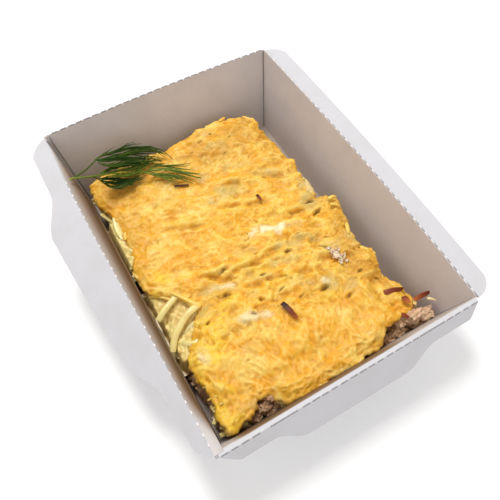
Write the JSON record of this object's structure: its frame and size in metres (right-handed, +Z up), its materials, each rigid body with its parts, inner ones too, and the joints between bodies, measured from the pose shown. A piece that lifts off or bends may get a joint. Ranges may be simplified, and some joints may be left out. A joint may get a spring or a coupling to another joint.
{
  "type": "baked meat in a paperboard tray",
  "caption": "Slab of french-style baked meat with potato and a cheese crust, with a dill sprig, in a folded white paperboard takeaway tray.",
  "frame": {"origin": "middle of the tray's flat underside", "axes": "+Z up, +Y along the tray towards the end where the dill lies, +X across the tray"},
  "size_m": [0.1672, 0.2003, 0.0514],
  "materials": {
    "board": "uncoated white board, faintly satin",
    "meat": "stands in for minced meat, crumbly and moist",
    "potato": "stands in for baked grated potato, moist",
    "cheese": "stands in for melted and browned cheese, greasy satin",
    "crumb": "stands in for a fluffy crumb of meat",
    "dill": "stands in for fresh dill"
  },
  "bodies": {
    "root": {"tray": "board", "meat_layer": "meat", "potato_layer": "potato", "cheese_crust": "cheese", "meat_crumb": "crumb", "dill_sprig": "dill"}
  },
  "joints": []
}
